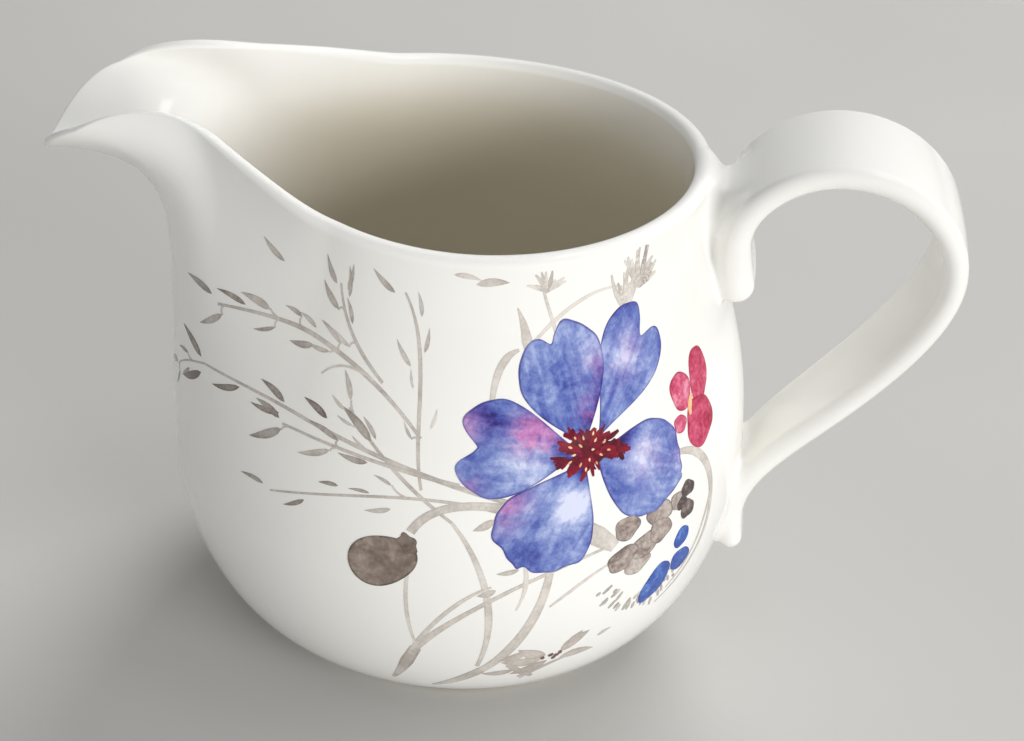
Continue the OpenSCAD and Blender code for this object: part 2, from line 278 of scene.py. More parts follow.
# Along it: its points, half widths and half thicknesses.
STRAP_U = np.linspace(0, SPANS, SPANS * SPAN_STEPS + 1)
STRAP_XZ = np.concatenate([bezier(STRAP_LINE[3 * i:3 * i + 4], np.linspace(0, 1, SPAN_STEPS + 1)[(i > 0):])
                           for i in range(SPANS)])
STRAP_HW = (HANDLE_W - (HANDLE_W - ROOT_W) * (1 - ease(STRAP_U / 1.6))
            - (HANDLE_W - TAIL_W) * ease((STRAP_U - 2.4) / 2.6)) / 2
STRAP_HT = (HANDLE_T + ROOT_EXTRA * (1 - ease((STRAP_U - 0.5) / 1.2))) / 2

# The outside of the wall under the handle, by height
PROFILE = wall(180.0, np.linspace(0.02, 2, 500), 1)
PROFILE_Z, PROFILE_R = PROFILE[:, 2], PROFILE[:, 0]
PROFILE_SLOPE = np.gradient(PROFILE_R, PROFILE_Z)
LIP_Z = RIM_Z + RIM_CLIMB


def body_distance(p):
    """Signed distance to the outside of the wall, near the handle."""
    r = np.hypot(p[..., 0], p[..., 1])
    away = 1 - (p[..., 0] / np.maximum(r, 1e-6)) ** 2
    z = p[..., 2]
    z = z + RIM_CLIMB * away * np.clip((z - BELLY_Z) / (RIM_Z - BELLY_Z), 0, 1) ** SIDE_LIFT
    slope = np.interp(z, PROFILE_Z, PROFILE_SLOPE) * (1 - ease((z - LIP_Z + 4) / 4))
    side = (r - np.interp(z, PROFILE_Z, PROFILE_R)) / np.sqrt(1 + slope ** 2)
    lip = np.hypot(r - RIM_R, z - LIP_Z) - BOWL_LIP
    return np.where(z > LIP_Z, lip, side)


def strap_distance(p):
    """Signed distance to the ribbon: a rounded section along its centre line."""
    flat = p[..., [0, 2]].reshape(-1, 2)
    best = np.empty(len(flat))
    where = np.empty(len(flat))
    batch, coarse = 20000, 4
    a, b = STRAP_XZ[:-1], STRAP_XZ[1:]
    run = b - a
    length = (run ** 2).sum(-1)
    for s in range(0, len(flat), batch):
        f = flat[s:s + batch]
        near = ((f[:, None] - STRAP_XZ[None, ::coarse]) ** 2).sum(-1).argmin(1) * coarse
        found = np.full(len(f), 1e18)
        spot = np.zeros(len(f))
        for k in range(-coarse, coarse):
            i = np.clip(near + k, 0, len(a) - 1)
            t = np.clip(((f - a[i]) * run[i]).sum(-1) / length[i], 0, 1)
            d = ((f - a[i] - t[:, None] * run[i]) ** 2).sum(-1)
            better = d < found
            found = np.where(better, d, found)
            spot = np.where(better, i + t, spot)
        best[s:s + batch] = np.sqrt(found)
        where[s:s + batch] = spot
    best, where = best.reshape(p.shape[:-1]), where.reshape(p.shape[:-1])
    index = np.arange(len(STRAP_U))
    half_t = np.interp(where, index, STRAP_HT)
    half_w = np.interp(where, index, STRAP_HW)
    corner = EDGE_ROUND * half_t
    y = np.abs(p[..., 1])
    crown = CROWN * (y / half_w) ** 2
    dx = best - (half_t - crown - corner)
    dy = y - (half_w - corner)
    return np.minimum(np.maximum(dx, dy), 0) + np.hypot(np.maximum(dx, 0), np.maximum(dy, 0)) - corner


SKIRT = 0.04  # how deep the slip's edge lies under the glaze of the body
FILLET, SADDLE = 2.0, 5.0
SADDLE_Z, SADDLE_Z_SPAN, SADDLE_Y, SADDLE_Y_SPAN = 62, 7, 3.5, 8


def slip_blend(p):
    """How far the slip fills the corner between ribbon and wall: a small fillet, and a full saddle on top."""
    high = ease((p[..., 2] - SADDLE_Z) / SADDLE_Z_SPAN)
    central = 1 - ease((np.abs(p[..., 1]) - SADDLE_Y) / SADDLE_Y_SPAN)
    return FILLET + SADDLE * high * central


def handle_field(p):
    """Signed distance, roughly, to ribbon and body joined by the slip."""
    s = strap_distance(p)
    b = body_distance(p) + SKIRT
    blend = slip_blend(p)
    h = np.maximum(blend - np.abs(s - b), 0) / blend
    return np.minimum(s, b) - h * h * blend / 4


PROBE = 0.02  # step for the slopes of handle_field


def drawn_to_surface(points):
    """The points after three Newton steps towards the place where handle_field is zero."""
    for _ in range(3):
        f = handle_field(points)
        slope = np.stack([(handle_field(points + PROBE * e) - f) / PROBE for e in np.eye(3)], -1)
        points = points - (f / np.maximum((slope ** 2).sum(-1), 0.2))[:, None] * slope
    return points


def surface_net(low, high, cell):
    """Points, faces and normals of the surface where handle_field is zero, on a grid of cubes.

    One point per cube that the surface crosses, then one quad per grid edge that it crosses.
    """
    axes = [np.arange(l, h + cell, cell) for l, h in zip(low, high)]
    grid = np.stack(np.meshgrid(*axes, indexing="ij"), -1)
    field = handle_field(grid)
    inside = field < 0
    index = -np.ones(tuple(n - 1 for n in field.shape), int)
    total = np.zeros(index.shape + (3,))
    hits = np.zeros(index.shape)
    corners = [(i, j, k) for i in (0, 1) for j in (0, 1) for k in (0, 1)]
    n = index.shape

    def part(f, c):
        return f[c[0]:c[0] + n[0], c[1]:c[1] + n[1], c[2]:c[2] + n[2]]

    for c in corners:
        for axis in range(3):
            if c[axis]:
                continue
            d = list(c)
            d[axis] = 1
            f0, f1 = part(field, c), part(field, d)
            cross = (f0 < 0) != (f1 < 0)
            t = np.where(cross, f0 / np.where(cross, f0 - f1, 1), 0)
            spot = part(grid, c) + t[..., None] * (part(grid, d) - part(grid, c))
            total += np.where(cross[..., None], spot, 0)
            hits += cross
    used = hits > 0
    index[used] = np.arange(used.sum())
    points = total[used] / hits[used][:, None]
    faces = []
    for axis in range(3):
        o1, o2 = [(1, 2), (2, 0), (0, 1)][axis]
        size = list(field.shape)
        size[axis] -= 1
        lo = np.take(inside, range(size[axis]), axis)
        hi = np.take(inside, range(1, size[axis] + 1), axis)
        for flip, cross in ((False, lo & ~hi), (True, ~lo & hi)):
            at = np.argwhere(cross)
            for o in (o1, o2):
                at = at[(at[:, o] > 0) & (at[:, o] < size[o] - 1)]
            quad = []
            for d1, d2 in ((1, 1), (0, 1), (0, 0), (1, 0)):
                c = at.copy()
                c[:, o1] -= d1
                c[:, o2] -= d2
                quad.append(index[c[:, 0], c[:, 1], c[:, 2]])
            quad = np.stack(quad, -1)
            faces.append(quad[:, ::-1] if flip else quad)
    points, start = drawn_to_surface(points), points
    slope = np.stack([(handle_field(points + PROBE * e) - handle_field(points - PROBE * e)) / PROBE
                      for e in np.eye(3)], -1)
    faces = np.concatenate(faces)
    steady = np.linalg.norm(points - start, axis=-1) < 1.5 * cell
    return points, faces[steady[faces].all(1)], unit(slope)


def handle_mesh():
    """The ribbon with its slip, without the stretch of body that the field also holds."""
    cell = 0.42
    points, faces, normals = surface_net((27, -13, 12), (70, 13, 83), cell)
    keep = strap_distance(points) < slip_blend(points) + 0.25
    faces = faces[keep[faces].all(1)]
    used = np.unique(faces)
    index = -np.ones(len(points), int)
    index[used] = np.arange(len(used))
    return mesh_object("ribbon_handle", points[used], index[faces], normals[used])


# ---------------------------------------------------------------- materials
def rgb(r, g, b):
    """Linear colour from the 0 to 255 values that a screen shows."""
    out = []
    for c in (r, g, b):
        c /= 255
        out.append(c / 12.92 if c <= 0.04045 else ((c + 0.055) / 1.055) ** 2.4)
    return tuple(out) + (1.0,)


class Shader:
    """A material's node tree, built from short calls. Patterns lie in the object's own coordinates."""

    def __init__(self, name):
        self.material = bpy.data.materials.new(name)
        self.material.use_nodes = True
        self.tree = self.material.node_tree
        self.tree.nodes.clear()
        self.place = self.add("ShaderNodeTexCoord").outputs["Object"]

    def add(self, kind, settings=None, **values):
        node = self.tree.nodes.new(kind)
        for key, value in (settings or {}).items():
            setattr(node, key, value)
        for key, value in values.items():
            self.set(node.inputs[key.replace("_", " ")], value)
        return node

    def set(self, socket, value):
        if isinstance(value, bpy.types.NodeSocket):
            self.tree.links.new(value, socket)
        else:
            socket.default_value = value

    def noise(self, scale, detail, rough=0.5, distort=0.0, place=None):
        node = self.add("ShaderNodeTexNoise", None, Scale=scale, Detail=detail, Roughness=rough,
                        Distortion=distort, Vector=place or self.place)
        return node.outputs["Fac"]

    def mark(self, name):
        return self.add("ShaderNodeAttribute", {"attribute_name": name}).outputs["Fac"]

    def math(self, kind, a, b, clamp=False):
        node = self.add("ShaderNodeMath", {"operation": kind, "use_clamp": clamp})
        self.set(node.inputs[0], a)
        self.set(node.inputs[1], b)
        return node.outputs[0]

    def fit(self, value, low, high, out_low=0.0, out_high=1.0):
        node = self.add("ShaderNodeMapRange", {"interpolation_type": "SMOOTHSTEP"})
        for key, v in (("Value", value), ("From Min", low), ("From Max", high),
                       ("To Min", out_low), ("To Max", out_high)):
            self.set(node.inputs[key], v)
        return node.outputs[0]

    def ramp(self, value, stops):
        node = self.add("ShaderNodeValToRGB")
        self.set(node.inputs[0], value)
        element = node.color_ramp.elements
        while len(element) < len(stops):
            element.new(0.5)
        for e, (at, colour) in zip(element, stops):
            e.position = at
            e.color = colour
        return node.outputs[0]

    def mix(self, share, a, b):
        node = self.add("ShaderNodeMix", {"data_type": "RGBA"})
        self.set(node.inputs[0], share)
        self.set(node.inputs[6], a)
        self.set(node.inputs[7], b)
        return node.outputs[2]

    def finish(self, colour, roughness, bump=None, **settings):
        shader = self.add("ShaderNodeBsdfPrincipled")
        self.set(shader.inputs["Base Color"], colour)
        self.set(shader.inputs["Roughness"], roughness)
        for key, value in settings.items():
            self.set(shader.inputs[key.replace("_", " ")], value)
        if bump:
            height, distance, strength = bump
            node = self.add("ShaderNodeBump", None, Height=height, Distance=distance, Strength=strength)
            self.set(shader.inputs["Normal"], node.outputs["Normal"])
        out = self.add("ShaderNodeOutputMaterial")
        self.set(out.inputs["Surface"], shader.outputs["BSDF"])
        return self.material


GLAZE_LIGHT, GLAZE_DARK = rgb(243, 242, 238), rgb(238, 236, 230)
# Painted shade: darker, warmer glaze colours for the inside of the jug.
SHADED_INSIDE_LIGHT, SHADED_INSIDE_DARK = rgb(219, 213, 197), rgb(214, 207, 190)
GLAZE_IOR, PRINT_GLOSS = 1.5, 0.08


def glaze_bump(s):
    return s.noise(85, 2.0), 0.0004, 0.06


def glaze_material():
    """White glaze with faint clouds, and painted shade: a darker, warmer grey down inside the jug."""
    s = Shader("white_glaze")
    cloud = s.noise(22, 2.0)
    outside = s.ramp(cloud, [(0.3, GLAZE_DARK), (0.7, GLAZE_LIGHT)])
    # Painted shade: the inside colour, mixed in by the shade mask from the body mesh.
    inside = s.ramp(cloud, [(0.3, SHADED_INSIDE_DARK), (0.7, SHADED_INSIDE_LIGHT)])
    gloss = s.fit(s.noise(60, 3.0), 0.3, 0.7, 0.055, 0.09)
    return s.finish(s.mix(s.mark("deep"), outside, inside), gloss, bump=glaze_bump(s), IOR=GLAZE_IOR)


def foot_material():
    """Glaze down to the standing face, which is bare."""
    s = Shader("bare_biscuit")
    height = s.add("ShaderNodeSeparateXYZ", None, Vector=s.place).outputs["Z"]
    bare = s.fit(height, 0.0009, 0.0005)
    grain = s.ramp(s.noise(900, 4.0, 0.6), [(0.3, rgb(206, 198, 186)), (0.7, rgb(226, 220, 210))])
    colour = s.mix(bare, GLAZE_LIGHT, grain)
    rough = s.fit(bare, 0.0, 1.0, PRINT_GLOSS, 0.75)
    return s.finish(colour, rough, bump=(s.noise(1500, 3.0), 0.00005, 0.3), IOR=GLAZE_IOR)


def petal_material():
    """Watercolour wash: blue to pale by depth, violet and pink patches, grain, a darker dried edge."""
    s = Shader("blue_petal_ink")
    edge, along, across = s.mark("edge"), s.mark("along"), s.mark("across")
    grain = s.noise(1300, 4.0, 0.7)
    wash = s.noise(150, 4.0, 0.6, 0.5)
    place = s.add("ShaderNodeCombineXYZ", None, X=s.math("MULTIPLY", across, 3.4),
                  Y=s.math("MULTIPLY", along, 1.6), Z=s.math("MULTIPLY", s.mark("tone"), 9.0)).outputs[0]
    streak = s.noise(1.6, 3.0, 0.5, 0.4, place)
    depth = s.math("ADD", s.fit(wash, 0.3, 0.72, -0.2, 0.22), s.fit(streak, 0.3, 0.72, -0.1, 0.1))
    depth = s.math("ADD", depth, s.fit(grain, 0.3, 0.7, -0.09, 0.09))
    depth = s.math("ADD", depth, 0.47)
    depth = s.math("ADD", depth, s.math("MULTIPLY", s.mark("deep"), 0.62))
    depth = s.math("SUBTRACT", depth, s.math("MULTIPLY", s.mark("pale"), 0.46))
    colour = s.ramp(depth, [(0.0, rgb(212, 216, 238)), (0.2, rgb(168, 179, 218)), (0.42, rgb(122, 138, 194)),
                            (0.64, rgb(84, 100, 172)), (0.84, rgb(56, 58, 136)), (1.0, rgb(34, 28, 92))])
    pink = s.math("MULTIPLY", s.mark("pink"), s.fit(s.noise(420, 3.0, 0.6, 0.6), 0.28, 0.6))
    rose = s.ramp(depth, [(0.1, rgb(224, 180, 212)), (0.5, rgb(192, 128, 184)), (0.9, rgb(110, 54, 134))])
    colour = s.mix(s.math("MULTIPLY", pink, 0.9, True), colour, rose)
    rim = s.math("MULTIPLY", s.fit(edge, 0.06, 0.0), s.fit(s.noise(300, 2.0), 0.3, 0.6, 0.35, 0.95))
    colour = s.mix(rim, colour, rgb(62, 50, 132))
    return s.finish(colour, PRINT_GLOSS, bump=glaze_bump(s), IOR=GLAZE_IOR)


def wash_material(name, stops, dark, grain_size=1500, rim_width=0.14):
    """A one-colour wash whose depth follows tone, with grain and a darker dried edge."""
    s = Shader(name)
    grain = s.noise(grain_size, 3.0, 0.6)
    wash = s.noise(380, 3.0, 0.6, 0.6)
    depth = s.math("ADD", s.fit(wash, 0.3, 0.72, -0.24, 0.24), s.fit(grain, 0.3, 0.7, -0.14, 0.14))
    depth = s.math("ADD", depth, s.mark("tone"))
    colour = s.ramp(depth, stops)
    rim = s.math("MULTIPLY", s.fit(s.mark("edge"), rim_width, 0.0), s.fit(wash, 0.3, 0.6, 0.2, 0.8))
    colour = s.mix(rim, colour, dark)
    return s.finish(colour, PRINT_GLOSS, bump=glaze_bump(s), IOR=GLAZE_IOR)


def ink_material(name, pale, dark):
    """Thin brush strokes: the colour follows tone, and the brush leaves them uneven."""
    s = Shader(name)
    depth = s.math("ADD", s.fit(s.noise(300, 3.0, 0.6), 0.3, 0.7, -0.14, 0.14), s.mark("tone"))
    depth = s.math("ADD", depth, s.fit(s.noise(2200, 2.0), 0.3, 0.7, -0.07, 0.07))
    depth = s.math("ADD", depth, s.fit(s.mark("edge"), 0.0, 0.5, 0.08, -0.05))
    return s.finish(s.ramp(depth, [(0.0, pale), (1.0, dark)]), PRINT_GLOSS, bump=glaze_bump(s), IOR=GLAZE_IOR)


# ---------------------------------------------------------------- transfers
# Heights over the glaze: strokes under petals, petals under what lies on them. The skirt goes below it.
INK_LIFT, PETAL_LIFT, TOP_LIFT, SKIRT_LIFT = 0.03, 0.055, 0.08, -0.05
PER_MM = 180 / (math.pi * BELLY_R)
GOLDEN_ANGLE = 137.5


class Transfer:
    """Printed shapes that follow the wall. Each is drawn in millimetres round an (angle, height) point."""

    def __init__(self, angle, height, seed):
        self.at = np.array([angle, height], float)
        self.random = np.random.default_rng(seed)
        self.points, self.lifts, self.faces, self.marks = [], [], [], []
        self.count = 0

    def add(self, xy, faces, loop, lift, **marks):
        """Adds a shape and a skirt down from its outline, loop. marks are the values that colour it."""
        n = len(xy)
        border = xy[loop]
        lifts = np.concatenate([np.full(n + len(loop), lift), np.full(len(loop), SKIRT_LIFT)])
        self.points.append(np.concatenate([xy, border, border]))
        self.lifts.append(lifts)
        i = np.arange(len(loop))
        j = (i + 1) % len(loop)
        side = np.stack([n + i, n + len(loop) + i, n + len(loop) + j, n + j], -1)
        self.faces += [[int(k) + self.count for k in f] for f in list(faces) + side.tolist()]
        full = {}
        for key in ("edge", "along", "across", "tone", "deep", "pale", "pink"):
            v = np.broadcast_to(np.asarray(marks.get(key, 0.0), float), (n,))
            full[key] = np.concatenate([v, v[loop], v[loop]])
        self.marks.append(full)
        self.count += n + 2 * len(loop)

    def mm(self, places):
        """Millimetres round the transfer's own point, from (angle, height) places."""
        places = np.asarray(places, float)
        return (places - self.at) * [1 / PER_MM, 1]

    def blob(self, centre, outline, lift, tone, rings, axis=(0.0, 1.0), **patches):
        """A filled outline, given as offsets from centre. axis is the direction in which along grows.

        patches gives soft spots of a mark: (along, across, size, strength), along 0 to 1, across -1 to 1.
        """
        outline = np.asarray(outline, float)
        following = np.roll(outline, -1, 0)
        clockwise = (outline[:, 0] * following[:, 1] - outline[:, 1] * following[:, 0]).sum() < 0
        if clockwise:
            outline = outline[::-1]
        n = len(outline)
        shares = np.linspace(0, 1, rings + 1)[1:] ** 0.8
        xy = np.concatenate([[[0, 0]]] + [outline * s for s in shares])
        edge = np.concatenate([[1]] + [np.full(n, 1 - s) for s in shares])
        axis = unit(np.asarray(axis, float))
        along = xy @ axis
        across = xy @ np.array([-axis[1], axis[0]])
        i = np.arange(n)
        j = (i + 1) % n
        faces = np.stack([np.zeros(n, int), 1 + i, 1 + j], -1).tolist()
        for r in range(rings - 1):
            a, b = 1 + r * n + i, 1 + r * n + j
            faces += np.stack([a, a + n, b + n, b], -1).tolist()
        loop = 1 + (rings - 1) * n + i
        low, high = along.min(), along.max()
        along = (along - low) / max(high - low, 1e-6)
        across = across / max(np.abs(across).max(), 1e-6)
        marks = {}
        for key, spots in patches.items():
            marks[key] = np.zeros(len(xy))
            for at_along, at_across, size, strength in spots:
                away = (along - at_along) ** 2 + (0.5 * (across - at_across)) ** 2
                marks[key] += strength * np.exp(-away / size ** 2)
        self.add(xy + centre, faces, loop, lift, edge=edge, along=along, across=across, tone=tone, **marks)

    def stroke(self, line, widths, lift, tone, steps):
        """A brush stroke along a curve of 3 or 4 control points, with its width at the points of widths."""
        line = np.asarray(line, float)
        if len(line) == 3:
            line = np.array([line[0], (line[0] + 2 * line[1]) / 3, (line[2] + 2 * line[1]) / 3, line[2]])
        t = np.linspace(0, 1, steps + 1)
        p = bezier(line, t)
        d = unit(np.gradient(p, axis=0))
        half = np.interp(t, np.linspace(0, 1, len(widths)), widths)[:, None] / 2
        side = np.stack([-d[:, 1], d[:, 0]], -1) * half
        xy = np.stack([p + side, p, p - side], 1).reshape(-1, 2)
        i = np.arange(steps) * 3
        faces = np.concatenate([np.stack([i, i + 1, i + 4, i + 3], -1),
                                np.stack([i + 1, i + 2, i + 5, i + 4], -1)])
        left, right = np.arange(steps + 1) * 3, np.arange(steps + 1) * 3 + 2
        loop = np.concatenate([left, [steps * 3 + 1], right[::-1], [1]])
        self.add(xy, faces.tolist(), loop, lift, tone=tone, edge=np.tile([0, 1, 0], steps + 1),
                 along=np.repeat(t, 3), across=np.tile([1, 0, -1], steps + 1))

    def leaf(self, start, angle, length, width, lift, tone, bend=0.0, point=0.8):
        """A lens-shaped leaf or spikelet from its stalk end, in the direction angle."""
        t = np.concatenate([np.linspace(0, 1, 9), np.linspace(1, 0, 9)[1:-1]])
        sign = np.concatenate([np.ones(9), -np.ones(7)])
        half = width / 2 * np.sin(math.pi * t ** point) ** 0.9
        x = length * (t - 0.5)
        y = sign * half + bend * length * (4 * t * (1 - t) - 0.66)
        outline = turned(np.stack([x, y], -1), angle)
        self.blob(np.asarray(start, float) + toward(angle, length / 2), outline, lift, tone, 3, (1.0, 0.0))

    def build(self, name, material, slot, *nodes):
        """Lays the shapes on the glaze as one piece."""
        xy = np.concatenate(self.points)
        a = self.at[0] + xy[:, 0] * PER_MM
        z = self.at[1] + xy[:, 1]
        p, out = glaze(a, z, np.concatenate(self.lifts))
        marks = {key: np.concatenate([m[key] for m in self.marks]) for key in self.marks[0]}
        o = mesh_object(name, p, self.faces, out, marks)
        o.data.materials.append(material)
        return own(o, slot, *nodes)


def own(o, slot, *nodes):
    """Ties a piece to the body and hides the nodes that it replaces; slot is not used."""
    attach(o, "root")
    if nodes:
        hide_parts(*nodes)
    return o


def polar(radius, points):
    """Outline from a function of the angle in degrees."""
    a = np.arange(points) * 360 / points
    r = radius(a)
    return np.stack([r * np.cos(np.radians(a)), r * np.sin(np.radians(a))], -1)


def oval(width, height, angle, wobble=0.05, phase=0.0):
    """A hand-painted dab: an oval with an uneven edge."""
    dab = polar(lambda a: 0.5 * (1 + wobble * np.sin(np.radians(3 * a + phase))
                                 + 0.6 * wobble * np.sin(np.radians(5 * a + 2.1 * phase))), 48)
    return turned(dab * [width, height], angle)


def turned(outline, angle):
    c, s = math.cos(math.radians(angle)), math.sin(math.radians(angle))
    return outline @ np.array([[c, s], [-s, c]])


def toward(angle, length):
    """The step of a length in the direction angle."""
    return length * np.array([math.cos(math.radians(angle)), math.sin(math.radians(angle))])


# ---------------------------------------------------------------- pieces
def build_clay():
    white = glaze_material()
    body = body_mesh()
    body.data.materials.append(white)
    own(body, "white_glaze", "vessel_body")
    foot = foot_mesh()
    foot.data.materials.append(foot_material())
    own(foot, "bare_biscuit", "foot_ring")
    handle = handle_mesh()
    handle.data.materials.append(white)
    own(handle, "white_glaze", "handle_strap", "upper_handle_slip", "lower_handle_slip")


def petal(length, width, fullness, notch, notch_width, notch_at, ruffle, phase, blunt=0.72):
    """A petal's outline from its base at the origin towards +x, with a notch in its tip."""
    s = np.arange(112) * 2 * math.pi / 112
    t = (1 - np.cos(s)) / 2
    side = np.sign(np.sin(s)) * np.sin(math.pi * t ** fullness) ** blunt
    y = width / 2 * side
    gap = np.abs(side / 2 - notch_at / 2) / notch_width
    x = length * t - notch * np.exp(-gap ** 1.5) * ease((t - 0.5) / 0.5)
    grow = 1 + ruffle * t * (np.sin(9 * s + phase) + 0.6 * np.sin(16 * s + 2.3 * phase))
    x = x * (1 + 0.5 * (grow - 1))
    return np.stack([x, y * grow], -1)


def lay_petal(flower, base, angle, outline, tone, **patches):
    """Puts a petal on the flower, from its base in the direction angle."""
    reach = 0.56 * outline[:, 0].max()
    offset = turned(outline - [reach, 0], angle)
    flower.blob(np.asarray(base) + toward(angle, reach), offset, PETAL_LIFT + 0.02 * tone, tone, 16,
                toward(angle, 1.0), **patches)


FLOWER_AT = (121, 47)


def build_flower():
    """Five petals of different breadth round a tuft of dark red stamens."""
    flower = Transfer(*FLOWER_AT, 1)
    lay_petal(flower, (1.4, 1.0), 55, petal(20.4, 11.4, 1.55, 5.4, 0.17, -0.15, 0.008, 1.2, 0.86), 0.1,
              deep=[(0.06, 0, 0.12, 0.6), (0.9, 0.9, 0.2, 0.35), (0.95, -0.9, 0.2, 0.3)],
              pale=[(0.62, 0.1, 0.16, 0.55)], pink=[(0.6, 0.1, 0.2, 0.35)])
    lay_petal(flower, (-0.4, 1.2), 106, petal(17.0, 13.4, 1.3, 3.4, 0.12, 0.1, 0.01, 0.4), 0.3,
              deep=[(0.04, -0.4, 0.16, 0.7), (0.3, -0.8, 0.16, 0.5)], pale=[(0.75, -0.5, 0.14, 0.25)],
              pink=[(0.16, -0.3, 0.14, 0.9), (0.5, -0.8, 0.18, 0.45)])
    lay_petal(flower, (1.4, -1.2), -24, petal(16.0, 13.2, 1.15, 0.9, 0.2, 0.3, 0.02, 2.2), 0.5,
              deep=[(0.1, 0.5, 0.2, 1.3)], pale=[(0.52, 0.3, 0.2, 0.9)],
              pink=[(0.5, 0.2, 0.2, 0.3), (1, 0.5, 0.15, 0.6)])
    lay_petal(flower, (-0.4, -1.2), -122, petal(17.2, 14.2, 1.5, 0.8, 0.3, 0.0, 0.03, 3.1), 0.7,
              deep=[(0.04, 0, 0.12, 0.7), (0.9, 0.2, 0.22, 0.45)], pale=[(0.36, 0.2, 0.17, 1.3)],
              pink=[(0.6, -1.0, 0.2, 1.0)])
    lay_petal(flower, (-1.0, 0.0), 174, petal(19.2, 12.6, 1.4, 5.0, 0.16, 0.0, 0.012, 4.4, 0.8), 0.9,
              deep=[(0.05, 0.3, 0.16, 0.6), (0.78, -0.5, 0.12, 0.5)], pale=[(0.5, 0.35, 0.22, 0.6)],
              pink=[(0.4, -0.35, 0.17, 2.2), (0.98, -0.4, 0.16, 0.8), (0.9, 0.8, 0.12, 0.5)])
    return flower.build("flower_petals", petal_material(), "blue_ink", "flower_transfer")


HEART, SIDE_HEART = np.array([-0.2, 0.0]), np.array([4.4, -0.7])


def build_stamens():
    """Short radiating strokes and cream dots over the heart of the flower."""
    tuft = Transfer(*FLOWER_AT, 2)
    random = tuft.random
    star = polar(lambda a: 1 + 0.14 * np.sin(np.radians(7 * a)) + 0.1 * np.sin(np.radians(11 * a)), 88)
    for at, size in ((HEART, 2.7), (SIDE_HEART, 1.2)):
        tuft.blob(at, size * star * [1.1, 0.8], TOP_LIFT - 0.01, 0.75, 4)
    squash = np.array([1.15, 0.85])
    for k in range(84):
        far = k % 6 == 0
        centre = SIDE_HEART if far else HEART
        angle = k * GOLDEN_ANGLE + random.uniform(-14, 14)
        start = random.uniform(0.2, 0.8) if far else random.uniform(0.6, 2.9)
        length = random.uniform(0.8, 1.4) if far else random.uniform(1.0, 2.1)
        inner_end = centre + toward(angle, start) * squash
        outer_end = centre + toward(angle + random.uniform(-12, 12), start + length) * squash
        width = random.uniform(0.4, 0.85)
        bend = (inner_end + outer_end) / 2 + random.uniform(-0.2, 0.2, 2)
        tuft.stroke([inner_end, bend, outer_end], [width * 0.6, width, width * 0.5], TOP_LIFT,
                    random.uniform(0.1, 0.9), 5)
    tuft.build("stamen_strokes", ink_material("stamen_red", rgb(150, 16, 44), rgb(70, 6, 28)), "red_ink")
    dots = Transfer(*FLOWER_AT, 3)
    for k in range(16):
        at = toward(k * GOLDEN_ANGLE, 0.4 + 2.3 * math.sqrt(k / 16)) * [1.15, 0.8]
        dots.leaf(at, k * GOLDEN_ANGLE, dots.random.uniform(0.5, 0.8), 0.3, TOP_LIFT + 0.02,
                  dots.random.uniform(0.2, 0.9))
    dots.build("pollen_dots", ink_material("pollen_cream", rgb(246, 226, 176), rgb(214, 150, 110)), "red_ink")


def lay_dabs(transfer, dabs, wobble, phase, lift, rings):
    """Ovals of (place, width, height, angle, tone); the tone also turns the wobble of their edges."""
    for place, width, height, angle, tone in dabs:
        outline = oval(width, height, angle, wobble, phase * tone)
        transfer.blob(transfer.mm(place), outline, PETAL_LIFT + lift * tone, tone, rings)


BLOSSOM_AT = (150, 47.5)


def build_red_blossom():
    bloom = Transfer(*BLOSSOM_AT, 4)
    for at, width, height, angle, tone in (
            ((-3.0, 2.7), 4.4, 5.2, 10, 0.32), ((1.6, 3.4), 4.6, 7.4, -12, 0.5),
            ((0.4, -2.6), 6.4, 7.0, -8, 0.66), ((-4.0, -1.4), 2.6, 2.4, 0, 0.28)):
        bloom.blob(at, oval(width, height, angle, 0.05, 90 * tone), PETAL_LIFT + 0.01 * tone, tone, 7)
    stops = [(0.0, rgb(228, 150, 172)), (0.35, rgb(206, 84, 118)),
             (0.7, rgb(180, 36, 76)), (1.0, rgb(140, 16, 52))]
    bloom.build("red_blossom", wash_material("raspberry_wash", stops, rgb(156, 24, 62)), "red_ink",
                "red_blossom_transfer")
    dash = Transfer(*BLOSSOM_AT, 5)
    dash.stroke([(-1.6, -1.0), (-1.9, 0.2), (-0.8, 1.6)], [0.5, 1.0, 0.6], TOP_LIFT, 0.5, 8)
    dash.build("blossom_dash", ink_material("dash_cream", rgb(250, 220, 170), rgb(226, 120, 80)), "red_ink")


def build_buds():
    buds = Transfer(142, 26, 6)
    lay_dabs(buds, (((144.6, 29.2), 2.8, 3.4, -34, 0.5), ((145.2, 25.4), 4.0, 3.4, 0, 0.6),
                    ((138.6, 23.6), 4.0, 6.8, -34, 0.55)), 0.04, 100, 0, 6)
    stops = [(0.0, rgb(120, 156, 212)), (0.45, rgb(48, 90, 174)), (1.0, rgb(22, 50, 134))]
    buds.build("cobalt_buds", wash_material("cobalt_wash", stops, rgb(30, 60, 150)), "blue_ink",
               "blue_bud_transfer")


